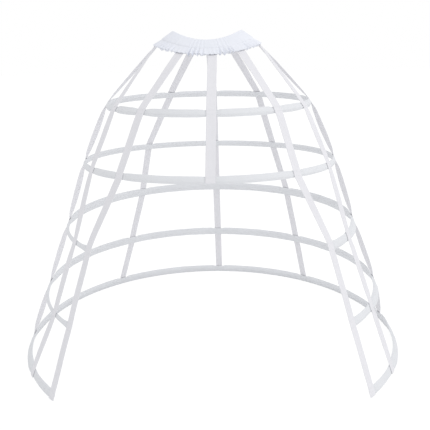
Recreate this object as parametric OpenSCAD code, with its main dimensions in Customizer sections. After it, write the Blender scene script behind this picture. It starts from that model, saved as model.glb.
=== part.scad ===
// Crinoline cage: five flat hoops in cloth casings, hung by ten tapes from a gathered
// elastic waistband. The two upper hoops are closed and the three lower ones are open in front.
// Millimetres. The origin is the middle of the waist opening, +Z is up, the open front faces -Y.

/* [Waistband] */
// Girth of the waist opening along the top edge
waist_girth = 660; // [580:5:760]
// Rise of the sides, and dip of the front and back, from the mean height of the top edge
waist_rise = 15; // [0:1:20]
// Lean of the waistband from the vertical
waist_lean = 56; // [45:1:65]
// Width of the elastic channel, fold to stitching
channel_w = 44; // [34:1:50]
// Width of the frill below the stitching
frill_w = 31; // [25:1:45]
// Thickness of the waistband cloth
cloth_t = 0.8; // [0.5:0.1:1.2]
// Number of gathers round the waistband
gathers = 76; // [50:2:90]
// Height of the gathers at the frill's free edge
gather_h = 4.5; // [2:0.5:7]
// Height of the gathers over the elastic
pucker_h = 1.2; // [0:0.1:2]
// Thickness of the elastic
elastic_t = 1.6; // [1:0.1:2.5]
// Room in the channel above and below the elastic
elastic_room = 4; // [3:0.5:8]

/* [Hoops] */
// Diameter of hoop 1, the top one, at the middle of its casing
hoop_1_d = 640; // [580:2:680]
// Diameter of hoop 2
hoop_2_d = 804; // [760:2:840]
// Diameter of hoop 3
hoop_3_d = 942; // [900:2:990]
// Diameter of hoop 4
hoop_4_d = 1104; // [1050:2:1150]
// Diameter of hoop 5, the hem
hoop_5_d = 1250; // [1200:2:1320]
// Drop of hoop 1 below the waist
hoop_1_drop = 202; // [180:1:230]
// Drop of hoop 2 below the waist
hoop_2_drop = 384; // [350:1:420]
// Drop of hoop 3 below the waist
hoop_3_drop = 587; // [550:1:630]
// Drop of hoop 4 below the waist
hoop_4_drop = 802; // [760:1:840]
// Drop of hoop 5 below the waist
hoop_5_drop = 996; // [950:1:1060]
// Tilt of hoop 1, front down
hoop_1_tilt = 1.4; // [-2:0.1:2]
// Tilt of hoop 2, front down
hoop_2_tilt = -1; // [-2:0.1:2]
// Tilt of hoop 3, front down
hoop_3_tilt = 1; // [-2:0.1:2]
// Tilt of hoop 4, front down
hoop_4_tilt = 0.6; // [-2:0.1:2]
// Height of the flat casings of the closed hoops
closed_casing_h = 21; // [17:0.5:26]
// Height of the flat casings of the open hoops
open_casing_h = 29; // [17:0.5:34]
// Thickness of the casing cloth
casing_wall = 0.9; // [0.5:0.1:1.5]
// Width of the sewn edges of a casing
casing_edge = 2; // [1.5:0.5:4]
// Distance of an open casing's ends inside the edges of the front tapes
casing_inset = 5; // [0:0.5:9]
// Sewn length that closes each end of an open casing
casing_seam = 8; // [5:1:15]

/* [Boning] */
// Width of the flat steel
boning_w = 8; // [6:0.5:10]
// Thickness of the flat steel
boning_t = 1.2; // [0.8:0.1:1.6]
// Gap between the two ends of a closed steel
boning_split = 1; // [0.5:0.5:4]
// Length of the joiner over the ends of a closed steel
joiner_l = 26; // [18:1:40]
// Length of the cap on an end of an open steel
cap_l = 14; // [10:1:20]
// Wall of the joiners and caps
crimp_wall = 0.5; // [0.3:0.1:0.8]

/* [Tapes] */
// Width of the tapes
tape_w = 27; // [20:1:30]
// Thickness of the tapes
tape_t = 2; // [1.2:0.1:2.4]
// Angle of the centre front tape from the front, at the waist
centre_front_waist_angle = 5.5; // [0:0.5:8]
// Angle of the centre front tape at hoop 1
centre_front_top_angle = 2; // [-2:0.5:4]
// Angle of the centre front tape at hoop 2
centre_front_angle = 1; // [-2:0.5:4]
// Angle of the left front tape at the waist
front_left_waist_angle = 29; // [26:0.5:40]
// Angle of the left front tape at hoop 1
front_left_top_angle = 35; // [32:0.5:42]
// Angle of the front tapes at hoop 2, and of the right one above it
front_angle = 37.5; // [32:0.5:42]
// Angle of the front tapes at the open hoops, half of the opening
opening_angle = 47; // [43:0.5:52]
// Angle of the side front tapes at the waist
side_front_waist_angle = 79; // [72:0.5:83]
// Angle of the left side front tape at hoops 1 to 4
side_front_left_angle = 58.5; // [57:0.5:68]
// Angle of the side front tapes at the other hoops
side_front_angle = 62; // [58:0.5:68]
// Turn of the side front tapes between the hoops, outer face to the front
side_front_twist = 24; // [0:1:40]
// Angle of the side back tapes at the waist
side_back_waist_angle = 98; // [94:0.5:110]
// Angle of the side back tapes at the hoops
side_back_angle = 87; // [80:0.5:100]
// Angle of the right side back tape at hoop 5
side_back_hem_angle = 99; // [84:0.5:106]
// Turn of the side back tapes between the hoops, inner face to the front
side_back_twist = 20; // [0:1:40]
// Angle of the left back tape at the waist
back_left_waist_angle = 158; // [150:0.5:160]
// Angle of the left back tape at hoop 1
back_left_top_angle = 154; // [146:0.5:156]
// Angle of the left back tape at hoops 2 and 3
back_left_angle = 144.5; // [138:0.5:148]
// Angle of the right back tape at the waist
back_right_waist_angle = 148; // [142:0.5:158]
// Angle of the right back tape at hoop 1
back_right_top_angle = 147; // [142:0.5:154]
// Angle of the right back tape at hoop 2
back_right_angle = 144; // [138:0.5:148]
// Angle of the back tapes at the hoops below
back_angle = 141; // [134:0.5:146]
// Angle of the centre back tape, sewn a little to the right of the middle
centre_back_angle = 177.5; // [174:0.5:186]

/* [Fit] */
// Gap between a tape and what it is sewn to
seat_gap = 0.2; // [0.1:0.05:0.3]
// Gap between the boning's crimped ends, or the elastic, and the cloth round it
channel_gap = 0.3; // [0.2:0.05:0.5]
// Gap between the steel and the joiners and caps
crimp_gap = 0.05; // [0.05:0.05:0.15]
// Gap between the two layers of the frill
layer_gap = 0.7; // [0.5:0.05:0.9]

/* [Part] */
// Which piece to draw

/* [Hidden] */
$fn = 96;
turn_steps = 8;
white_cloth = [0.93, 0.94, 0.97];
white_tape = [0.9, 0.9, 0.92];
white_casing = [0.88, 0.9, 0.93];
steel = [0.72, 0.73, 0.75];
crimp = [0.6, 0.6, 0.62];

hoop_r = [hoop_1_d, hoop_2_d, hoop_3_d, hoop_4_d, hoop_5_d] / 2;
hoop_z = -[hoop_1_drop, hoop_2_drop, hoop_3_drop, hoop_4_drop, hoop_5_drop];
hoop_tilt = [hoop_1_tilt, hoop_2_tilt, hoop_3_tilt, hoop_4_tilt, 0];
closed_hoops = 2;
last_hoop = len(hoop_r) - 1;

// Boning with its crimped ends sets the cavity, and the cavity sets the casing
bore_w = boning_w + 2 * crimp_gap;
bore_t = boning_t + 2 * crimp_gap;
crimp_w = bore_w + 2 * crimp_wall;
crimp_t = bore_t + 2 * crimp_wall;
cavity_t = crimp_t + 2 * channel_gap;
casing_t = cavity_t + 2 * casing_wall;
function is_open(i) = i >= closed_hoops;
function casing_h(i) = is_open(i) ? open_casing_h : closed_casing_h;

// Waistband, measured down its slope from the fold at the top
waist_r = waist_girth / (2 * PI);
collar_w = channel_w + frill_w;
rim = [waist_r + collar_w * sin(waist_lean), -collar_w * cos(waist_lean)];
elastic_w = channel_w - 2 * elastic_room;
channel_half = elastic_t / 2 + channel_gap;
layer_half = layer_gap / 2;

// Side line of the cage, from the frill's edge down over the hoops
side_line = concat([rim], [for (i = [0:last_hoop]) [hoop_r[i], hoop_z[i]]]);

// Lean of hoop i from the vertical: the mean of the runs above and below it
function lean(i) =
  let(up = side_line[i], down = side_line[min(i + 2, last_hoop + 1)])
  atan((down.x - up.x) / (up.y - down.y));

// Point, outward direction and sideways direction at angle a from the front
function at(r, a, z) = [r * sin(a), -r * cos(a), z];
function outward(a) = [sin(a), -cos(a), 0];
function sideways(a) = [cos(a), sin(a), 0];
function unit(v) = v / norm(v);

// Turn of a point or direction by a hoop's tilt, front down
function tip(v, t) = [v.x, v.y * cos(t) - v.z * sin(t), v.y * sin(t) + v.z * cos(t)];

// Waistband point at angle a, s down the slope and n out from the middle of its cloth
function waist_height(a) = -waist_rise * cos(2 * a);
function collar(a, s, n) = at(
  waist_r + s * sin(waist_lean) + n * cos(waist_lean), a,
  waist_height(a) - s * cos(waist_lean) + n * sin(waist_lean));

// Angles of each tape at the waist and at its hoops, below zero on the left
open_angles = [for (i = [closed_hoops:last_hoop]) opening_angle];
centre_front_angles = [centre_front_waist_angle, centre_front_top_angle, centre_front_angle];
front_left_angles = -concat(front_left_waist_angle, front_left_top_angle, front_angle, open_angles);
front_right_angles = concat(front_angle, front_angle, front_angle, open_angles);
side_front_left_angles = -concat(
  side_front_waist_angle, [for (i = [1:last_hoop]) side_front_left_angle], side_front_angle);
side_front_right_angles = concat(side_front_waist_angle, [for (i = [0:last_hoop]) side_front_angle]);
side_back_left_angles = -concat(side_back_waist_angle, [for (i = [0:last_hoop]) side_back_angle]);
side_back_right_angles = concat(
  side_back_waist_angle, [for (i = [1:last_hoop]) side_back_angle], side_back_hem_angle);
back_left_angles = -[
  back_left_waist_angle, back_left_top_angle, back_left_angle, back_left_angle,
  (back_left_angle + back_angle) / 2, back_angle
];
back_right_angles = [
  back_right_waist_angle, back_right_top_angle, back_right_angle, back_angle, back_angle, back_angle
];
centre_back_angles = [for (i = [0:last_hoop + 1]) centre_back_angle];
tape_tops = [
  for (angles = [
    centre_front_angles, front_left_angles, front_right_angles,
    side_front_left_angles, side_front_right_angles, side_back_left_angles, side_back_right_angles,
    back_left_angles, back_right_angles, centre_back_angles
  ]) angles[0]
];

// How far a gather can go in at angle a: not at all where a tape is sewn under the frill
flat_half = (tape_w / 2 + 4) / (waist_r + channel_w * sin(waist_lean)) * 180 / PI;
function turn(a, b) = abs((a - b + 540) % 360 - 180);
function gather_room(a) =
  min([for (t = tape_tops) max(0, min(1, (turn(a, t) - flat_half) / 3))]);

// Gathers alternate out and in, and their height wanders a little from one to the next
function gather(k, a) =
  (k % 2 == 0 ? 1 : -gather_room(a)) * (0.78 + 0.22 * sin(7 * a) * cos(11 * a));

// One section of the waistband, as places down the slope and out from it: a strip folded at the
// top, with its two layers sewn together below the elastic and left free as the frill
function waistband_section(k, a) =
  let(
    wave = gather(k, a),
    free = wave * gather_h / 2,
    sewn = free / 8,
    out = pucker_h * (1 + wave) / 2,
    in = pucker_h * (1 - wave) / 2,
    out_n = channel_half + cloth_t,
    out_f = layer_half + cloth_t,
    low = channel_w - elastic_room / 2,
    high = elastic_room / 2
  )
  [
    [collar_w, out_f + free],
    [channel_w, out_f + sewn],
    [low, out_n + out / 2],
    [high, out_n + out],
    [-cloth_t, 0],
    [high, -out_n - in],
    [low, -out_n - in / 2],
    [channel_w, -out_f + sewn],
    [collar_w, -out_f + free],
    [collar_w, -layer_half + free],
    [channel_w, -layer_half + sewn],
    [low, -channel_half - in / 2],
    [high, -channel_half - in],
    [high - 1, 0],
    [high, channel_half + out],
    [low, channel_half + out / 2],
    [channel_w, layer_half + sewn],
    [collar_w, layer_half + free]
  ];

elastic_section =
  let(top = elastic_room, bottom = elastic_room + elastic_w, half = elastic_t / 2)
  [[bottom, half], [top, half], [top, -half], [bottom, -half]];

// Closed skin round the waist through its sections. Both faces of a cloth are split along the
// same diagonal, so that its thickness stays even over a gather.
module collar_skin(sections) {
  n = len(sections);
  m = len(sections[0]);
  polyhedron(
    points = [for (k = [0:n - 1], p = sections[k]) collar(k * 360 / n, p.x, p.y)],
    faces = [
      for (i = [0:n - 1], j = [0:m - 1])
        let(
          next = (j + 1) % m,
          a = i * m + j, b = i * m + next,
          c = (i + 1) % n * m + next, d = (i + 1) % n * m + j,
          runs_down = sections[0][next].x > sections[0][j].x
        )
        each runs_down ? [[a, b, d], [b, c, d]] : [[a, b, c], [a, c, d]]
    ]
  );
}

module waistband() {
  steps = 2 * gathers;
  color(white_cloth)
    collar_skin([for (k = [0:steps - 1]) waistband_section(k, k * 360 / steps)]);
}

module waist_elastic() {
  color(white_tape) collar_skin([for (k = [1:gathers]) elastic_section]);
}

// A station is where a tape's inner face runs: its middle, sideways and outward directions.
// At the waist the tape lies under the frill.
function waist_station(a, s) =
  let(
    side = unit(collar(a + 1, s, 0) - collar(a - 1, s, 0)),
    down = collar(a, s + 1, 0) - collar(a, s, 0),
    out = unit(cross(down, side))
  )
  [collar(a, s, 0) - out * (layer_half + cloth_t + seat_gap + tape_t), side, out];

function hoop_station(i, a, s) =
  let(
    out = cos(lean(i)) * outward(a) + [0, 0, sin(lean(i))],
    down = sin(lean(i)) * outward(a) - [0, 0, cos(lean(i))],
    middle = at(hoop_r[i], a, 0) + out * (casing_t / 2 + seat_gap) + down * s,
    tilt = hoop_tilt[i]
  )
  [tip(middle, tilt) + [0, 0, hoop_z[i]], tip(sideways(a), tilt), tip(out, tilt)];

// Half of the length over which a tape lies flat on casing i
function seat_half(i) = casing_h(i) / 2 - casing_t / 4;

// Station part way from one station to the next. A twist turns the tape's outer face towards
// its sideways direction, most in the middle of the run.
function between(a, b, t, twist) =
  let(
    side = unit(a[1] + t * (b[1] - a[1])),
    out = unit(a[2] + t * (b[2] - a[2])),
    w = twist * sin(180 * t)
  )
  [a[0] + t * (b[0] - a[0]), side * cos(w) - out * sin(w), out * cos(w) + side * sin(w)];

function tape_stations(angles, twist) =
  let(
    last = len(angles) - 2,
    top = waist_station(angles[0], channel_w + 1),
    edge = waist_station(angles[0], collar_w + 1),
    upper = [for (i = [0:last]) hoop_station(i, angles[i + 1], -seat_half(i))],
    lower = concat([edge], [for (i = [0:last]) hoop_station(i, angles[i + 1], seat_half(i))])
  )
  concat(
    [top, edge],
    [
      for (i = [0:last])
        let(
          turns = i == 0 || twist != 0 || angles[i] != angles[i + 1],
          steps = turns ? turn_steps : 1
        )
        each concat(
          [for (k = [1:steps]) between(lower[i], upper[i], k / steps, twist)], [lower[i + 1]]
        )
    ]
  );

// Flat ribbon through its stations, with both faces split along the same diagonal
module ribbon(stations) {
  n = len(stations);
  side = [-1, 1, 1, -1];
  up = [0, 0, 1, 1];
  polyhedron(
    points = [
      for (s = stations, j = [0:3])
        s[0] + side[j] * tape_w / 2 * s[1] + up[j] * tape_t * s[2]
    ],
    faces = concat(
      [[0, 1, 2, 3]],
      [
        for (i = [0:n - 2], j = [0:3])
          let(a = 4 * i + j, b = 4 * i + (j + 1) % 4)
          each j == 2 ? [[b, a, b + 4], [a, a + 4, b + 4]] : [[b, a, a + 4], [b, a + 4, b + 4]]
      ],
      [[for (j = [3:-1:0]) 4 * (n - 1) + j]]
    )
  );
}

module tape(angles, twist = 0) {
  color(white_tape) ribbon(tape_stations(angles, twist));
}

// Revolve of a section along hoop i, between two angles from the front
module along_hoop(i, from, to) {
  translate([0, 0, hoop_z[i]])
    rotate([hoop_tilt[i], 0, 0])
      rotate([0, 0, from - 90])
        rotate_extrude(angle = to - from)
          translate([hoop_r[i], 0])
            rotate(lean(i))
              children();
}

// Flat section that narrows to an edge along its top and bottom
module flat_section(h, t, edge_t) {
  polygon([
    for (side = [-1, 1], corner = [[edge_t, -h], [t, 2 * t - h], [t, h - 2 * t], [edge_t, h]])
      side * corner / 2
  ]);
}

function along(i, length) = length / hoop_r[i] * 180 / PI;

// An open casing ends just inside the outer edge of the front tapes
function casing_start(i) =
  is_open(i) ? opening_angle - asin((tape_w / 2 - casing_inset) / hoop_r[i]) : 0;
function cap_start(i) = casing_start(i) + along(i, casing_seam + channel_gap);
function boning_start(i) = cap_start(i) + along(i, crimp_wall + crimp_gap);

module hoop_casing(i) {
  start = casing_start(i);
  seam = is_open(i) ? along(i, casing_seam) : 0;
  color(white_casing)
    difference() {
      along_hoop(i, start, 360 - start) flat_section(casing_h(i), casing_t, 2 * casing_wall);
      along_hoop(i, start + seam, 360 - start - seam)
        flat_section(casing_h(i) - 2 * casing_edge, cavity_t, layer_gap);
    }
}

// A closed steel has its split at the back, an open one ends inside its caps
module boning(i) {
  split = along(i, boning_split / 2);
  start = is_open(i) ? boning_start(i) : 180 + split;
  end = is_open(i) ? 360 - start : 540 - split;
  color(steel) along_hoop(i, start, end) square([boning_t, boning_w], center = true);
}

module joiner(i) {
  half = along(i, joiner_l / 2);
  color(crimp)
    difference() {
      along_hoop(i, 180 - half, 180 + half) square([crimp_t, crimp_w], center = true);
      along_hoop(i, 179 - half, 181 + half) square([bore_t, bore_w], center = true);
    }
}

module cap(i) {
  start = cap_start(i);
  end = start + along(i, cap_l);
  difference() {
    along_hoop(i, start, end) square([crimp_t, crimp_w], center = true);
    along_hoop(i, start + along(i, crimp_wall), end + 1) square([bore_t, bore_w], center = true);
  }
}

module caps(i) {
  color(crimp)
    for (m = [0, 1]) mirror([m, 0, 0]) cap(i);
}

waistband();
waist_elastic();
tape(centre_front_angles);  // tape_front
tape(front_left_angles);  // tape_front_left
tape(front_right_angles);  // tape_front_right
tape(side_front_left_angles, side_front_twist);  // tape_side_front_left
tape(side_front_right_angles, -side_front_twist);  // tape_side_front_right
tape(side_back_left_angles, -side_back_twist);  // tape_side_back_left
tape(side_back_right_angles, side_back_twist);  // tape_side_back_right
tape(back_left_angles);  // tape_back_left
tape(back_right_angles);  // tape_back_right
tape(centre_back_angles);  // tape_back
hoop_casing(0);  // hoop_casing_1
hoop_casing(1);  // hoop_casing_2
hoop_casing(2);  // hoop_casing_3
hoop_casing(3);  // hoop_casing_4
hoop_casing(4);  // hoop_casing_5
boning(0);  // boning_1
boning(1);  // boning_2
boning(2);  // boning_3
boning(3);  // boning_4
boning(4);  // boning_5
joiner(0);  // joiner_1
joiner(1);  // joiner_2
caps(2);  // caps_3
caps(3);  // caps_4
caps(4);  // caps_5
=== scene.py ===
import math

import bpy
from mathutils import Matrix, Vector, noise


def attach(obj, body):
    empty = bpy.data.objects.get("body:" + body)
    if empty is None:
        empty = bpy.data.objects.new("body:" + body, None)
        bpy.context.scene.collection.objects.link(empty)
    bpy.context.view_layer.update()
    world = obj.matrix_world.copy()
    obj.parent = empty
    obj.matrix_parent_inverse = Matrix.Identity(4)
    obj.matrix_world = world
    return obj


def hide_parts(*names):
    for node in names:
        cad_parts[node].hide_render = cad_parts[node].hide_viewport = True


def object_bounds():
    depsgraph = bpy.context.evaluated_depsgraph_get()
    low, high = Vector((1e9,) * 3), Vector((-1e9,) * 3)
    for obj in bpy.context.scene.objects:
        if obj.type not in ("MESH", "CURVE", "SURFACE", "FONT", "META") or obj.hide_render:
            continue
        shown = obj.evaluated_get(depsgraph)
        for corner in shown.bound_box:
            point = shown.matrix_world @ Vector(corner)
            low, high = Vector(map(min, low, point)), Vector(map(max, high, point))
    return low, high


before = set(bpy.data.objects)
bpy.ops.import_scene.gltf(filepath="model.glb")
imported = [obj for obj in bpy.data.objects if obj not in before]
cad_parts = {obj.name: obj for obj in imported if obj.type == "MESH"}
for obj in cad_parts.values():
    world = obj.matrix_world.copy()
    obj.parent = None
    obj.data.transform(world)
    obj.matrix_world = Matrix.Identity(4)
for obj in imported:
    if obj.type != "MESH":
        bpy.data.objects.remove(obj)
cad_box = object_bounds()

# Hoop steels
# Flat strips of bright spring steel that hold the hoops round. They are cut to length, bent and
# pushed into the cloth casings, where they lie loose.
hoops = range(1, 6)
drawn_line_pitch = 0.0007
drawn_line_depth = 0.00005
tarnish_scale = 22.0
steel_dark = (0.44, 0.44, 0.46, 1.0)
steel_bright = (0.68, 0.68, 0.7, 1.0)


class Field:
    """A value, colour or direction that changes over a surface: one socket of a finish."""

    def __init__(self, socket):
        self.socket = socket

    def node(self, kind, settings, sockets, out=0):
        tree = self.socket.id_data
        made = tree.nodes.new(kind)
        for name, value in settings.items():
            setattr(made, name, value)
        for name, value in sockets.items():
            if isinstance(value, Field):
                tree.links.new(value.socket, made.inputs[name])
            else:
                made.inputs[name].default_value = value
        return Field(made.outputs[out]) if made.outputs else None

    def maths(self, operation, first, second=0.0):
        return self.node("ShaderNodeMath", {"operation": operation}, {0: first, 1: second})

    def __add__(self, other):
        return self.maths("ADD", self, other)

    def __radd__(self, other):
        return self.maths("ADD", other, self)

    def __sub__(self, other):
        return self.maths("SUBTRACT", self, other)

    def __rsub__(self, other):
        return self.maths("SUBTRACT", other, self)

    def __mul__(self, other):
        return self.maths("MULTIPLY", self, other)

    def __rmul__(self, other):
        return self.maths("MULTIPLY", other, self)

    def ripple(self, pitch):
        """Even ridges, from 0 to 1, at this pitch along a length."""
        return 0.5 + 0.5 * self.maths("SINE", self * (math.tau / pitch))

    def mottle(self, scale, detail=3.0):
        """Soft clouds, about 0 to 1, over a place on the surface."""
        sockets = {"Vector": self, "Scale": scale, "Detail": detail}
        return self.node("ShaderNodeTexNoise", {}, sockets)

    def between(self, low, high):
        """One colour where this value is 0, the other where it is 1."""
        return self.node("ShaderNodeMix", {"data_type": "RGBA"}, {0: self, 6: low, 7: high}, out=2)


def new_finish(name):
    finish = bpy.data.materials.new(name)
    finish.use_nodes = True
    finish.node_tree.nodes.clear()
    return finish


def place_in(finish):
    return Field(finish.node_tree.nodes.new("ShaderNodeTexCoord").outputs["Object"])


def shade(start, height, depth, **sockets):
    """Puts the shader on a finish, with a relief of this height field and depth in metres."""
    bump = {"Height": height, "Distance": depth, "Strength": 1.0}
    look = {name.replace("_", " "): value for name, value in sockets.items()}
    look["Normal"] = start.node("ShaderNodeBump", {}, bump)
    surface = start.node("ShaderNodeBsdfPrincipled", {}, look)
    start.node("ShaderNodeOutputMaterial", {}, {"Surface": surface})


def metal_finish(name, dark, bright, rough, grain_scale):
    """Metal with drawn lines round the hoop and cloudy tarnish."""
    finish = new_finish(name)
    place = place_in(finish)
    height = place.node("ShaderNodeSeparateXYZ", {}, {"Vector": place}, out=2)
    lines = height.ripple(drawn_line_pitch) * place.mottle(grain_scale)
    tarnish = place.mottle(tarnish_scale, 5.0)
    shade(
        place,
        lines,
        drawn_line_depth,
        Base_Color=(0.3 * lines + 0.7 * tarnish).between(dark, bright),
        Roughness=rough + 0.25 * tarnish,
        Metallic=1.0,
    )
    return finish


spring_steel = metal_finish("spring_steel", steel_dark, steel_bright, rough=0.22, grain_scale=160.0)
for number in hoops:
    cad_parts[f"boning_{number}"].material_slots[0].material = spring_steel

# Joiners and end caps
# Thin metal sleeves crimped over the two meeting ends of a closed steel, and over each free end
# of an open one, so that the cut steel can't work through the cloth.
tin_dark = (0.36, 0.36, 0.37, 1.0)
tin_bright = (0.6, 0.6, 0.61, 1.0)
crimped_tin = metal_finish("crimped_tin", tin_dark, tin_bright, rough=0.38, grain_scale=420.0)
for node in ("joiner_1", "joiner_2", "caps_3", "caps_4", "caps_5"):
    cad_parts[node].material_slots[0].material = crimped_tin

# Hoop casings
# Flat tubes of white plain-weave cotton, folded lengthwise over the steels and sewn along their
# edges. They are drawn in where the tapes are sewn on, and pucker a little on either side.
waist_girth = 0.66
waist_lean = math.radians(56)
collar_width = 0.075
hoop_radius = (0.320, 0.402, 0.471, 0.552, 0.625)
hoop_height = (-0.202, -0.384, -0.587, -0.802, -0.996)
hoop_tilt = tuple(math.radians(tilt) for tilt in (1.4, -1.0, 1.0, 0.6, 0.0))
closed_hoops = 2
tape_width = 0.027
opening_angle = 47.0
tape_turns = {
    "tape_front": (5.5, 2.0, 1.0),
    "tape_front_left": (-29.0, -35.0, -37.5, -opening_angle, -opening_angle, -opening_angle),
    "tape_front_right": (37.5, 37.5, 37.5, opening_angle, opening_angle, opening_angle),
    "tape_side_front_left": (-79.0, -58.5, -58.5, -58.5, -58.5, -62.0),
    "tape_side_front_right": (79.0, 62.0, 62.0, 62.0, 62.0, 62.0),
    "tape_side_back_left": (-98.0, -87.0, -87.0, -87.0, -87.0, -87.0),
    "tape_side_back_right": (98.0, 87.0, 87.0, 87.0, 87.0, 99.0),
    "tape_back_left": (-158.0, -154.0, -144.5, -144.5, -142.75, -141.0),
    "tape_back_right": (148.0, 147.0, 144.0, 141.0, 141.0, 141.0),
    "tape_back": (177.5, 177.5, 177.5, 177.5, 177.5, 177.5),
}
casing_thick = 0.0047
casing_cavity = 0.0032
casing_wall = 0.0009
casing_edge = 0.0015
casing_seam = 0.004
casing_inset = 0.009
layer_gap = 0.0007
closed_casing = 0.021
open_casing = 0.029
casing_step = 0.004
weave_relief = 0.0004
casing_white = (0.79, 0.8, 0.82, 1.0)
casing_shadow = (0.69, 0.7, 0.725, 1.0)

waist_radius = waist_girth / math.tau
rim_radius = waist_radius + collar_width * math.sin(waist_lean)
rim_height = -collar_width * math.cos(waist_lean)
side_line = [(rim_radius, rim_height), *zip(hoop_radius, hoop_height)]


def is_open(hoop):
    return hoop >= closed_hoops


def full_height(hoop):
    return open_casing if is_open(hoop) else closed_casing


def hoop_lean(hoop):
    above = side_line[hoop]
    below = side_line[min(hoop + 2, len(hoop_radius))]
    return math.atan2(below[0] - above[0], above[1] - below[1])


def around(radius, angle, height):
    return Vector((radius * math.sin(angle), -radius * math.cos(angle), height))


def hoop_point(hoop, angle, down, out):
    """Place on a hoop, down its casing and out from the casing's middle."""
    lean = hoop_lean(hoop)
    radius = hoop_radius[hoop] + out * math.cos(lean) + down * math.sin(lean)
    height = out * math.sin(lean) - down * math.cos(lean)
    spot = Matrix.Rotation(hoop_tilt[hoop], 3, "X") @ around(radius, angle, height)
    return spot + Vector((0.0, 0.0, hoop_height[hoop]))


def ease(share):
    share = min(1.0, max(0.0, share))
    return share * share * (3 - 2 * share)


def turn_between(a, b):
    return abs((a - b + math.pi) % math.tau - math.pi)


def to_nearest_tape(hoop, angle):
    """Distance along a hoop to the middle of the nearest tape that crosses it."""
    turns = [turns[hoop + 1] for turns in tape_turns.values() if len(turns) > hoop + 1]
    return hoop_radius[hoop] * min(turn_between(angle, math.radians(turn)) for turn in turns)


def wander(angle, scale, seed):
    """Smooth chance round the cage, about -1 to 1."""
    return noise.noise(Vector((scale * math.sin(angle), scale * math.cos(angle), seed)))


# The tapes draw the casings in, and two casings are bunched up at the left of the opening, over a
# stretch that is given in degrees round from the front.
slack_start = 0.6 * tape_width
slack_reach = 0.012
pull_reach = 0.021
drawn_in = (0.3, 0.2, 0.1, 0.1, 0.1)
drawn_behind = 0.15
drawn_in_front = 0.85
drawn_middle = 0.65
drawn_left = 0.35
front_start = 0.1
front_fade = 0.4
bunched = {2: 0.46, 3: 0.46}
bunch_front = 45.0
bunch_front_fade = 8.0
bunch_back = 86.0
bunch_back_fade = 10.0
end_taper = 0.009
end_kept = 0.55
height_chance = 0.03


def pulled(hoop, angle):
    """1 at the middle of a tape that is sewn on, falling to 0 away from it."""
    return math.exp(-((to_nearest_tape(hoop, angle) / pull_reach) ** 2))


def slack(hoop, angle):
    """0 under a tape, 1 where the casing is free of it."""
    return ease((to_nearest_tape(hoop, angle) - slack_start) / slack_reach)


def drawn_share(angle):
    """How strongly the tapes draw a casing in: most at the left in front, least at the back."""
    front = ease((math.cos(angle) - front_start) / front_fade)
    return (drawn_behind + drawn_in_front * front) * (drawn_middle - drawn_left * math.sin(angle))


def bunching(hoop, angle):
    """The share of its height that a casing loses where it is bunched up, left of the opening."""
    leftward = math.degrees(math.tau - angle)
    back = ease((bunch_back - leftward) / bunch_back_fade)
    return bunched.get(hoop, 0.0) * back * ease((leftward - bunch_front) / bunch_front_fade)


def casing_span(hoop):
    """Angles where a casing starts and ends, measured round from the front."""
    if not is_open(hoop):
        return 0.0, math.tau
    reach = tape_width / 2 - casing_inset
    start = math.radians(opening_angle) - math.asin(reach / hoop_radius[hoop])
    return start, math.tau - start


def end_share(hoop, angle):
    """How far in from the nearer end of an open casing, from 0 at the end to 1."""
    if not is_open(hoop):
        return 1.0
    start, end = casing_span(hoop)
    return ease(min(angle - start, end - angle) * hoop_radius[hoop] / end_taper)


def casing_height(hoop, angle):
    """Height of a casing from edge to edge: less at a tape, in a bunch and at an open end."""
    drawn = max(drawn_in[hoop] * drawn_share(angle) * pulled(hoop, angle), bunching(hoop, angle))
    kept = min(1 - drawn, end_kept + (1 - end_kept) * end_share(hoop, angle))
    uneven = 1 + height_chance * wander(angle, 60 * hoop_radius[hoop], hoop)
    return full_height(hoop) * kept * uneven


# The edges of a casing curl off the slope beyond a distance from its middle. The stretch that flares
# at the sides is given in degrees from the front.
curl_start = 0.0055
curl_chance = 0.3
front_upright = (1.0, 1.0, 1.0, 1.0, 0.5)
back_upright = (1.0, 1.0, 1.2, 1.2, 1.25)
flare = 1.1
flare_front = 58.0
flare_front_fade = 10.0
flare_back = 95.0
flare_back_fade = 12.0


def flared(hoop, angle):
    """1 at the sides of an open hoop, where the casing's edges flare, 0 in front and behind."""
    if not is_open(hoop):
        return 0.0
    from_front = math.degrees(turn_between(angle, 0.0))
    front = ease((from_front - flare_front) / flare_front_fade)
    back = ease((flare_back - from_front) / flare_back_fade)
    return front * back * (1 - 2 * bunching(hoop, angle))


def casing_roll(hoop, angle, down):
    """How far the free edges leave the slope: they hang upright, but flare at the open hoops' sides."""
    behind = turn_between(angle, 0.0) > math.pi / 2
    upright = back_upright[hoop] if behind else front_upright[hoop]
    beside = flared(hoop, angle)
    chance = 1 + curl_chance * wander(angle, 14 * hoop_radius[hoop], 2.3 * hoop)
    curl = (upright * (1 - beside) - flare * beside) * math.tan(hoop_lean(hoop)) * chance
    if down < 0 or curl < 0:
        curl *= slack(hoop, angle)
    return curl * (max(0.0, -down - curl_start) - max(0.0, down - curl_start))


def casing_half(from_edge):
    """Half of a casing's thickness at a distance in from its sewn edge."""
    if from_edge < casing_wall:
        return math.sqrt(max(0.0, 2 * casing_wall * from_edge - from_edge**2))
    swell = ease((from_edge - casing_wall) / (casing_thick - casing_wall))
    return casing_wall + (casing_thick / 2 - casing_wall) * swell


# Between the tapes the cloth puffs out, less on the inner side, and creases near the tapes.
casing_puff = 0.0022
inner_puff = 0.6
crease_height = 0.0009
ripple_height = 0.0006
deepest_dent = 0.0004
free_strain = 0.4
tape_strain = 0.9
strain_reach = 0.045


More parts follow.
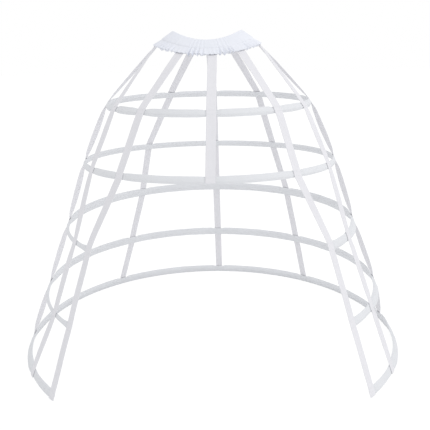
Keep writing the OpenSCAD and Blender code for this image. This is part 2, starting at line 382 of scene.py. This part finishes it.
def casing_pucker(hoop, angle, down, side):
    """How far the cloth puffs out on a side, with creases that slant away from the tapes."""
    loose = slack(hoop, angle)
    if side < 0:
        loose = inner_puff + (1 - inner_puff) * loose
    near = math.exp(-((to_nearest_tape(hoop, angle) / strain_reach) ** 2))
    strain = free_strain + tape_strain * near
    run = angle * hoop_radius[hoop]
    crease = noise.noise(Vector((95 * run + 30 * down, 55 * down, 3.7 * hoop + 40 * side)))
    ripple = noise.noise(Vector((28 * run, 20 * down, 9.1 * hoop + 40 * side)))
    relief = strain * (crease_height * crease + ripple_height * ripple)
    return loose * max(-deepest_dent, casing_puff + relief)


class Needlework:
    """Collects skins of cloth or thread and makes one piece of them."""

    def __init__(self):
        self.points = []
        self.faces = []
        self.marks = []

    def skin(self, rings, along, across, endless=False, inside=False):
        """A tube through rings of points. Endless joins the last ring to the first."""
        first = len(self.points)
        wide = len(rings[0])
        for ring in rings:
            self.points.extend(ring)
        for i in range(len(rings) - (0 if endless else 1)):
            after = (i + 1) % len(rings)
            for j in range(wide):
                beside = (j + 1) % wide
                corners = [(i, j), (i, beside), (after, beside), (after, j)]
                places = [(i, j), (i, j + 1), (i + 1, j + 1), (i + 1, j)]
                face = [first + ring * wide + point for ring, point in corners]
                mark = [(along[ring], across[point]) for ring, point in places]
                self.add(face, mark, inside)
        if not endless:
            for ring in (0, len(rings) - 1):
                face = [first + ring * wide + point for point in range(wide)]
                mark = [(along[ring], across[point]) for point in range(wide)]
                self.add(face, mark, inside != (ring == 0))

    def add(self, face, mark, backwards):
        self.faces.append(face[::-1] if backwards else face)
        self.marks.extend(mark[::-1] if backwards else mark)

    def piece(self, name, finish, slot, *nodes):
        mesh = bpy.data.meshes.new(name)
        mesh.from_pydata(self.points, [], self.faces)
        layer = mesh.uv_layers.new(name="cut")
        layer.data.foreach_set("uv", [value for mark in self.marks for value in mark])
        mesh.polygons.foreach_set("use_smooth", [True] * len(mesh.polygons))
        mesh.set_sharp_from_angle(angle=math.radians(60))
        mesh.materials.append(finish)
        made = bpy.data.objects.new(name, mesh)
        bpy.context.scene.collection.objects.link(made)
        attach(made, "root")
        if nodes:
            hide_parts(*nodes)
        return made


def lengths(points):
    """Running length along a row of points."""
    total = [0.0]
    for a, b in zip(points, points[1:]):
        total.append(total[-1] + (b - a).length)
    return total


def cloth_places(finish):
    """The place on a finish, and the lengths along and across the cut cloth."""
    place = place_in(finish)
    cut = place.node("ShaderNodeUVMap", {"uv_map": "cut"}, {})
    along = cut.node("ShaderNodeSeparateXYZ", {}, {"Vector": cut}, out=0)
    across = cut.node("ShaderNodeSeparateXYZ", {}, {"Vector": cut}, out=1)
    return place, along, across


def cotton(name, low, high, thread, twill=False):
    """White cotton: threads over and under, slubs, faint creases and a soft nap, with painted shade in the
    crease hollows and between the threads.
    """
    finish = new_finish(name)
    place, along, across = cloth_places(finish)
    warp = along.ripple(thread)
    weft = across.ripple(thread)
    weave = (along + across).ripple(2 * thread) if twill else warp * weft + (1 - warp) * (1 - weft)
    slubs = place.mottle(900.0, 2.0)
    creases = place.mottle(70.0, 5.0)
    clouds = place.mottle(9.0, 3.0)
    shade(
        place,
        0.05 * weave + 0.03 * slubs + 0.8 * creases,
        weave_relief,
        # The colour darkens in the crease hollows and where the threads dip under, as painted shade; the
        # large clouds are the cloth's own uneven tone.
        Base_Color=(0.25 * weave + 0.35 * creases + 0.45 * clouds).between(low, high),
        Roughness=0.78 + 0.18 * creases,
        Sheen_Weight=0.12,
        Sheen_Roughness=0.5,
        Specular_IOR_Level=0.25,
    )
    return finish


casing_cotton = cotton("casing_cotton", casing_shadow, casing_white, thread=0.0009)
edge_steps = (0.0, 0.0002, 0.0005, 0.0009, 0.0018, 0.0031, 0.0047)
cavity_steps = (0.0, 0.0012, 0.0029)
middle_steps = (0.25, 0.5, 0.75)


def across_flat(height, steps):
    """Places down a flat section, close together near its two edges."""
    half = height / 2
    top = [step - half for step in steps]
    middle = [top[-1] * (1 - 2 * share) for share in middle_steps]
    return top + middle + [-place for place in reversed(top)]


def casing_rings(hoop, angle):
    """The outer and inner outline of a casing at an angle round its hoop."""
    height = casing_height(hoop, angle)
    face = across_flat(height, edge_steps)
    outside = []
    for side, row in ((1, face), (-1, face[-2:0:-1])):
        for down in row:
            half = casing_half(height / 2 - abs(down))
            swell = max(0.0, math.cos(math.pi * down / height))
            lift = casing_pucker(hoop, angle, down, side) * swell
            out = side * (half + lift) + casing_roll(hoop, angle, down)
            outside.append(hoop_point(hoop, angle, down, out))
    hollow = across_flat(height - 2 * casing_edge, cavity_steps)
    inside = []
    for side, row in ((1, hollow), (-1, hollow[::-1])):
        for down in row:
            swell = ease((height / 2 - casing_edge - abs(down)) / casing_cavity)
            half = (layer_gap + (casing_cavity - layer_gap) * swell) / 2
            out = side * half + casing_roll(hoop, angle, down)
            inside.append(hoop_point(hoop, angle, down, out))
    return outside, inside


for number in hoops:
    hoop = number - 1
    start, end = casing_span(hoop)
    endless = not is_open(hoop)
    steps = round((end - start) * hoop_radius[hoop] / casing_step)
    turns = [start + (end - start) * step / steps for step in range(steps + 1)]
    along = [turn * hoop_radius[hoop] for turn in turns]
    rings = [casing_rings(hoop, turn) for turn in turns]
    sewn = round(casing_seam / casing_step)
    hollow = range(steps) if endless else range(sewn, steps + 1 - sewn)
    if endless:
        rings = rings[:-1]
    casing = Needlework()
    outline = [ring[0] for ring in rings]
    lining = [rings[step][1] for step in hollow]
    across = lengths(outline[0] + outline[0][:1])
    casing.skin(outline, along, across, endless)
    lined = along if endless else [along[step] for step in hollow]
    casing.skin(lining, lined, lengths(lining[0] + lining[0][:1]), endless, inside=True)
    node = f"hoop_casing_{number}"
    cloth = casing.piece(f"casing_cloth_{number}", casing_cotton, "casing_cloth", node)
    cut = (2 * full_height(hoop), along[-1] - along[0])

# Waist elastic
# One flat band of ribbed woven elastic, sewn into a ring and threaded through the channel at the
# top of the waistband, where it draws the cloth in to the waist.
elastic_rib = 0.0026
rib_depth = 0.0003
elastic_white = (0.82, 0.82, 0.82, 1.0)
elastic_shadow = (0.62, 0.62, 0.63, 1.0)


def ribbed_elastic():
    finish = new_finish("ribbed_elastic")
    place = place_in(finish)
    height = place.node("ShaderNodeSeparateXYZ", {}, {"Vector": place}, out=2)
    ribs = height.ripple(elastic_rib)
    knit = place.mottle(1400.0, 2.0)
    shade(
        place,
        ribs + 0.4 * knit,
        rib_depth,
        # The colour is darker in the grooves between the ribs, as painted shade, and flecked at random by
        # the knit.
        Base_Color=(0.7 * ribs + 0.3 * knit).between(elastic_shadow, elastic_white),
        Roughness=0.7 + 0.2 * knit,
    )
    return finish


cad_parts["waist_elastic"].material_slots[0].material = ribbed_elastic()

# Waistband
# One strip of bright white cotton folded over the elastic and sewn below it. The elastic gathers
# it, and its two free edges stand out below the stitching as a frill.
waist_rise = 0.015
channel_width = 0.044
waist_cloth = 0.0008
elastic_half = 0.0008
elastic_slack = 0.0006
fold_depth = 0.0015
band_white = (0.86, 0.875, 0.925, 1.0)
band_shadow = (0.74, 0.76, 0.825, 1.0)

channel_half = elastic_half + elastic_slack + waist_cloth / 2
frill_half = layer_gap / 2 + waist_cloth / 2
fold_top = -waist_cloth / 2


def collar_point(angle, slope, out):
    """Place on the waistband, down its slope from the fold and out from its middle."""
    radius = waist_radius + slope * math.sin(waist_lean) + out * math.cos(waist_lean)
    rise = -waist_rise * math.cos(2 * angle)
    height = rise - slope * math.cos(waist_lean) + out * math.sin(waist_lean)
    return around(radius, angle, height)


# Each gather is a rounded lobe between two creases of chance depth. It grows from the seam to the
# frill's edge and stays off the tapes.
gathers = 76
gather_steps = 12
gather_height = 0.0088
gather_chance = 2.4
gather_fade = 0.05
tape_margin = 0.003
crease_depth = 1.1
crease_least = 0.5
lobe_top = 0.9
lobe_fall = 1.9
lobe_round = 1.4
lobe_over_tape = 0.35


def gather_room(angle):
    """1 where a gather can go in, 0 where a tape is sewn under the frill."""
    tops = [math.radians(turns[0]) for turns in tape_turns.values()]
    seam_radius = waist_radius + channel_width * math.sin(waist_lean)
    away = min(turn_between(angle, top) for top in tops)
    return ease((away - (tape_width / 2 + tape_margin) / seam_radius) / gather_fade)


def gather(angle):
    """Rounded lobes with sharp creases between them, about -1 to 1."""
    phase = gathers * angle + gather_chance * wander(angle, 9.0, 0.3)
    crease = round(phase / math.tau) % gathers
    chance = noise.noise(Vector((3.71 * crease, 0.5, 0.2)))
    depth = max(crease_least, crease_depth + crease_depth * chance)
    lobe = lobe_top - lobe_fall * depth * (1 - abs(math.sin(phase / 2)) ** lobe_round)
    room = gather_room(angle)
    return lobe * (lobe_over_tape + (1 - lobe_over_tape) * room) if lobe > 0 else lobe * room


seam_rise = 0.003
seam_gather = 0.12
frill_growth = 0.8
frill_chance = 0.0008
band_fade = 0.004
pucker_height = 0.0012
fine_pucker = 0.25


def layer_half(slope):
    """Half of the distance between the two layers, at a place down the slope."""
    if slope < fold_depth:
        reach = (fold_depth - slope) / (fold_depth - fold_top)
        return channel_half * math.sqrt(max(0.0, 1 - reach * reach))
    return frill_half + (channel_half - frill_half) * ease((channel_width - slope) / seam_rise)


def cloth_place(angle, slope, side):
    """The middle of the cloth on the outer layer, side 1, or the inner one, side -1."""
    wave = gather(angle)
    frill = max(0.0, slope - channel_width) / (collar_width - channel_width)
    shift = wave * gather_height / 2 * (seam_gather + (1 - seam_gather) * frill**frill_growth)
    stray = frill_chance * frill * wander(angle, 30.0, 8.0) * gather_room(angle)
    band = ease((channel_width - slope) / band_fade) * ease((slope - fold_top) / band_fade)
    fine = fine_pucker * wander(angle, 120.0, 60 * slope)
    pucker = pucker_height * min(1.0, max(0.0, 0.5 + 0.5 * side * wave + fine))
    return side * (layer_half(slope) + band * pucker) + (1 - band) * (shift + stray)


frill_rows = 6
seam_rows = 4
seam_row = 0.001
channel_rows = 5
fold_rows = 3
fold_turn = 0.35


def waistband_ring(angle):
    """Outline of the folded strip: over the fold outside, and back along its inner face."""
    slopes = [collar_width - (collar_width - channel_width) * row / frill_rows for row in range(frill_rows)]
    slopes += [channel_width - seam_row * row for row in range(seam_rows)]
    seam = slopes[-1]
    slopes += [seam + (fold_depth - seam) * (row + 1) / channel_rows for row in range(channel_rows)]
    fold_height = fold_depth - fold_top
    slopes += [fold_depth - fold_height * math.sin(fold_turn * (row + 1)) for row in range(fold_rows)]
    path = [(slope, cloth_place(angle, slope, -1)) for slope in slopes]
    path.append((fold_top, 0.0))
    path += [(slope, cloth_place(angle, slope, 1)) for slope in reversed(slopes)]
    faces = [[], []]
    for here, (slope, out) in enumerate(path):
        before = path[max(here - 1, 0)]
        after = path[min(here + 1, len(path) - 1)]
        run = Vector((after[0] - before[0], after[1] - before[1])).normalized()
        for face, sign in zip(faces, (1, -1)):
            off = sign * waist_cloth / 2
            face.append(collar_point(angle, slope - run.y * off, out + run.x * off))
    return faces[0] + faces[1][::-1]


band_steps = gathers * gather_steps
band_turns = [math.tau * step / band_steps for step in range(band_steps + 1)]
band_rings = [waistband_ring(turn) for turn in band_turns[:-1]]
band_across = lengths(band_rings[0] + band_rings[0][:1])
waistband = Needlework()
waistband.skin(band_rings, [rim_radius * turn for turn in band_turns], band_across, endless=True)
band_cotton = cotton("band_cotton", band_shadow, band_white, thread=0.0007)
band_cloth = waistband.piece("waistband_cloth", band_cotton, "waistband_cloth", "waistband")

# Tapes
# Ten lengths of white cotton twill tape. Each is sewn to the waistband under the frill, runs down
# the outside of the hoops and is sewn to each casing that it crosses.
tape_room = 0.0027
tape_thick = 0.0016
tape_lift = 0.0002
seat_gap = 0.0002
seam_allowance = 0.001
twists = {"tape_side_front": math.radians(8), "tape_side_back": math.radians(-32)}
top_twist = 0.4
tape_edge = 0.0008
tape_sway = 0.0012
tape_tip = 0.03
tape_cup = 0.0006
tape_rumple = 0.0004
width_chance = 0.02
half_places = (0.0, 0.5, 0.8, 0.94, 0.985, 1.0)
tape_places = [-place for place in half_places[:0:-1]] + list(half_places)
turn_steps = 8
tape_step = 0.004
tape_white = (0.82, 0.815, 0.84, 1.0)
tape_shadow = (0.72, 0.715, 0.745, 1.0)
twill = cotton("twill_tape", tape_shadow, tape_white, thread=0.0008, twill=True)


class Station:
    """A place on a tape's path, with the directions across and out of the tape."""

    def __init__(self, place, side, out, seated):
        self.place = place
        self.side = side
        self.out = out
        self.seated = seated

    def toward(self, other, share):
        return Station(
            self.place.lerp(other.place, share),
            self.side.lerp(other.side, share).normalized(),
            self.out.lerp(other.out, share).normalized(),
            self.seated + (other.seated - self.seated) * share,
        )

    def turned(self, twist):
        """The same place on a free run, with the tape turned about its length."""
        side = self.side * math.cos(twist) - self.out * math.sin(twist)
        out = self.out * math.cos(twist) + self.side * math.sin(twist)
        return Station(self.place, side, out, 0.0)


def waist_station(angle, slope):
    here = collar_point(angle, slope, 0.0)
    nudge = 0.001
    side = collar_point(angle + nudge, slope, 0.0) - collar_point(angle - nudge, slope, 0.0)
    side = side.normalized()
    down = collar_point(angle, slope + nudge, 0.0) - here
    out = down.cross(side).normalized()
    return Station(here - out * (layer_gap / 2 + waist_cloth + seat_gap + tape_room), side, out, 1.0)


def hoop_station(hoop, angle, down):
    here = hoop_point(hoop, angle, down, casing_thick / 2 + seat_gap)
    out = (hoop_point(hoop, angle, down, casing_thick) - hoop_point(hoop, angle, down, 0.0)).normalized()
    tip = Matrix.Rotation(hoop_tilt[hoop], 3, "X")
    side = tip @ Vector((math.cos(angle), math.sin(angle), 0.0))
    return Station(here, side, out, 1.0)


def seat_half(hoop):
    """Half of the length over which a tape lies flat on a casing."""
    return full_height(hoop) / 2 - casing_thick / 4


def tape_path(turns, twist):
    """Stations down a tape, from the waistband's stitching to its last hoop."""
    angles = [math.radians(turn) for turn in turns]
    path = [waist_station(angles[0], width + seam_allowance) for width in (channel_width, collar_width)]
    for hoop, angle in enumerate(angles[1:]):
        above = path[-1]
        upper = hoop_station(hoop, angle, -seat_half(hoop))
        for step in range(1, turn_steps):
            share = step / turn_steps
            free = above.toward(upper, share)
            turn = twist * math.sqrt(math.sin(math.pi * share)) * (top_twist if hoop == 0 else 1.0)
            path.append(free.turned(turn))
        path += [upper, hoop_station(hoop, angle, seat_half(hoop))]
    return path


def even_path(path, step):
    """The same path with stations at even steps, and its bends eased."""
    run = lengths([station.place for station in path])
    count = round(run[-1] / step)
    even = []
    leg = 0
    for stop in range(count + 1):
        at = run[-1] * stop / count
        while leg < len(run) - 2 and run[leg + 1] < at:
            leg += 1
        even.append(path[leg].toward(path[leg + 1], (at - run[leg]) / (run[leg + 1] - run[leg])))
    eased = [even[0]]
    for before, here, after in zip(even, even[1:], even[2:]):
        eased.append(before.toward(after, 0.5).toward(here, 0.5))
    return eased + [even[-1]]


def tape_ring(station, run, loose, seed):
    """Outline across a tape, with soft edges and a slight hollow where it hangs free."""
    wide = tape_width / 2 * (1 + width_chance * noise.noise(Vector((40 * run, seed, 0.0))))
    sway = tape_sway * loose * noise.noise(Vector((9 * run, seed, 4.0)))
    lean = tape_tip * loose * noise.noise(Vector((6 * run, seed, 7.0)))
    tops = []
    bottoms = []
    for share in tape_places:
        across = share * wide
        inset = wide - abs(across)
        soft = min(1.0, math.sqrt(max(0.0, 2 * inset * tape_edge - inset**2)) / tape_edge)
        half = tape_thick / 2 * (soft if inset < tape_edge else 1.0)
        cup = tape_cup * loose * share * share
        rumple = tape_rumple * loose * noise.noise(Vector((70 * run, 60 * across, seed)))
        middle = tape_lift + tape_thick / 2 + sway + cup + rumple + lean * across
        base = station.place + station.side * across
        tops.append(base + station.out * (middle + half))
        bottoms.append(base + station.out * (middle - half))
    return tops[::-1] + bottoms[1:-1]


for seed, (name, turns) in enumerate(tape_turns.items()):
    kind, _, hand = name.rpartition("_")
    twist = twists.get(kind, 0.0) * (1 if hand == "left" else -1)
    path = even_path(tape_path(turns, twist), tape_step)
    run = lengths([station.place for station in path])
    rings = []
    for station, at in zip(path, run):
        rings.append(tape_ring(station, at, ease(1 - station.seated), 3.1 * seed))
    tape = Needlework()
    across = lengths(rings[0] + rings[0][:1])
    tape.skin(rings, run, across)
    cloth = tape.piece(f"{name}_twill", twill, "tape_cloth", name)

# Stitching
# White cotton thread: a row of machine stitches closes the channel of the waistband and catches
# the tapes, another closes the edge of each casing, and short rows hold the tapes to the hoops.
thread_radius = 0.00035
stitch_pitch = 0.0036
stitch_length = 0.0028
stitch_dip = 0.0002
edge_row = 0.0016
tack_inset = 0.003
tack_margin = 0.002
seam_offset = 0.0004
seam_slope = channel_width - seam_offset
thread_white = (0.86, 0.865, 0.88, 1.0)
thread_shadow = (0.7, 0.7, 0.73, 1.0)


def add_stitch(work, start, end, up):
    """One stitch: a short thread that dips into the cloth at its two ends."""
    beside = (end - start).cross(up).normalized()
    rings = []
    for share, lift in ((0.0, -stitch_dip), (0.3, stitch_dip), (0.7, stitch_dip), (1.0, -stitch_dip)):
        middle = start.lerp(end, share) + up * lift
        spokes = (up, beside, -up, -beside)
        rings.append([middle + spoke * thread_radius for spoke in spokes])
    around_thread = [thread_radius * corner for corner in range(5)]
    work.skin(rings, [0.0, 0.001, 0.002, 0.003], around_thread)


def add_row(work, place, up, length):
    """A row of stitches along a line: place and up give a point and its outward direction."""
    count = max(1, round(length / stitch_pitch))
    for stitch in range(count):
        start = (stitch + 0.5 - stitch_length / stitch_pitch / 2) / count
        end = (stitch + 0.5 + stitch_length / stitch_pitch / 2) / count
        add_stitch(work, place(start), place(end), up((start + end) / 2))


thread = cotton("sewing_thread", thread_shadow, thread_white, thread=0.0004, twill=True)


def seam_place(share):
    angle = math.tau * share
    out = cloth_place(angle, seam_slope, 1) + waist_cloth / 2
    return collar_point(angle, seam_slope, out)


def seam_up(share):
    angle = math.tau * share
    return (collar_point(angle, seam_slope, 1.0) - collar_point(angle, seam_slope, 0.0)).normalized()


waist_seam = Needlework()
seam_girth = math.tau * (waist_radius + seam_slope * math.sin(waist_lean))
add_row(waist_seam, seam_place, seam_up, seam_girth)
waist_seam.piece("waistband_stitching", thread, "waistband_cloth")

for number in hoops:
    hoop = number - 1
    start, end = casing_span(hoop)
    edge_seam = Needlework()

    def edge_place(share):
        angle = start + (end - start) * share
        down = casing_height(hoop, angle) / 2 - edge_row
        return hoop_point(hoop, angle, down, casing_half(edge_row) + casing_roll(hoop, angle, down))

    def edge_up(share):
        angle = start + (end - start) * share
        return (hoop_point(hoop, angle, 0.0, 1.0) - hoop_point(hoop, angle, 0.0, 0.0)).normalized()

    add_row(edge_seam, edge_place, edge_up, (end - start) * hoop_radius[hoop])
    edge_seam.piece(f"casing_stitching_{number}", thread, "casing_cloth")

for name, turns in tape_turns.items():
    tacks = Needlework()
    rows = []
    for hoop, turn in enumerate(turns[1:]):
        down = seat_half(hoop) - tack_inset
        rows += [hoop_station(hoop, math.radians(turn), place) for place in (-down, down)]
    for row in rows:
        middle = row.place + row.out * (tape_lift + tape_thick)
        half = tape_width / 2 - tack_margin
        add_row(
            tacks,
            lambda share: middle + row.side * half * (2 * share - 1),
            lambda share: row.out,
            2 * half,
        )
    tacks.piece(f"{name}_stitching", thread, "tape_cloth")

# Studio
# A plain white floor under the hem that runs out to the white background, with soft light from
# overhead and a little more from the right in front.
floor_reach = 40.0
floor_steps = 48
white = (1.0, 1.0, 1.0, 1.0)
floor_grey = (0.95, 0.95, 0.95, 1.0)
floor_glow = 1.1
floor_white = 0.8
room_white = (0.985, 0.99, 1.0, 1.0)
room_light = 0.91


def seen_directly(start):
    """1 for what the camera sees directly or in a reflection, 0 for the light on the cage."""
    path = start.node("ShaderNodeLightPath", {}, {})
    outputs = path.socket.node.outputs
    rays = [Field(outputs[name]) for name in ("Is Camera Ray", "Is Glossy Ray", "Is Transmission Ray")]
    either = start.maths("MAXIMUM", rays[0], rays[1])
    return start.maths("MAXIMUM", either, rays[2])


floor_mesh = bpy.data.meshes.new("studio_floor")
low_z = cad_box[0][2]
floor_ring = [around(floor_reach, math.tau * step / floor_steps, low_z) for step in range(floor_steps)]
floor_mesh.from_pydata(floor_ring, [], [list(range(floor_steps))])
floor_finish = new_finish("studio_floor")
floor_place = place_in(floor_finish)
paint = floor_place.node("ShaderNodeBsdfDiffuse", {}, {"Color": floor_grey})
glow = floor_place.node("ShaderNodeEmission", {}, {"Color": white, "Strength": floor_glow})
seen = floor_white * seen_directly(floor_place)
floor_look = floor_place.node("ShaderNodeMixShader", {}, {0: seen, 1: paint, 2: glow})
floor_place.node("ShaderNodeOutputMaterial", {}, {"Surface": floor_look})
floor_mesh.materials.append(floor_finish)
floor = bpy.data.objects.new("studio_floor", floor_mesh)
bpy.context.scene.collection.objects.link(floor)

studio = bpy.data.worlds.new("studio")
studio.use_nodes = True
studio.node_tree.nodes.clear()
sky = Field(studio.node_tree.nodes.new("ShaderNodeTexCoord").outputs["Generated"])
room = sky.node("ShaderNodeBackground", {}, {"Color": room_white, "Strength": room_light})
backdrop = sky.node("ShaderNodeBackground", {}, {"Color": white, "Strength": 1.0})
sky_look = sky.node("ShaderNodeMixShader", {}, {0: seen_directly(sky), 1: room, 2: backdrop})
sky.node("ShaderNodeOutputWorld", {}, {"Surface": sky_look})
bpy.context.scene.world = studio


def soft_light(name, place, aim, width, watts):
    lamp = bpy.data.lights.new(name, "AREA")
    lamp.shape = "SQUARE"
    lamp.size = width
    lamp.energy = watts
    made = bpy.data.objects.new(name, lamp)
    made.location = place
    made.rotation_euler = (Vector(aim) - Vector(place)).to_track_quat("-Z", "Y").to_euler()
    bpy.context.scene.collection.objects.link(made)


cage_middle = (0.0, 0.0, -0.5)
soft_light("overhead_softbox", (1.5, -0.6, 1.8), cage_middle, width=2.2, watts=9.0)
soft_light("right_softbox", (2.6, -2.6, 0.6), cage_middle, width=1.6, watts=11.0)

# Camera
# It stands in front of the cage at about waist height and looks down a little, from a touch to
# the right of the middle.
camera_away = 1.933
camera_height = -0.066
camera_swing = math.radians(0.8)
camera_pitch = math.radians(15.44)
camera_roll = math.radians(-1.0)
lens = bpy.data.cameras.new("photo_camera")
lens.lens = 49.5
lens.sensor_width = 36.0
lens.shift_x = 0.0105
lens.shift_y = 0.0144
camera = bpy.data.objects.new("photo_camera", lens)
camera.matrix_world = (
    Matrix.Translation(around(camera_away, camera_swing, camera_height))
    @ Matrix.Rotation(camera_swing, 4, "Z")
    @ Matrix.Rotation(math.pi / 2 - camera_pitch, 4, "X")
    @ Matrix.Rotation(camera_roll, 4, "Z")
)
bpy.context.scene.collection.objects.link(camera)
bpy.context.scene.camera = camera
bpy.context.scene.view_settings.view_transform = "Standard"
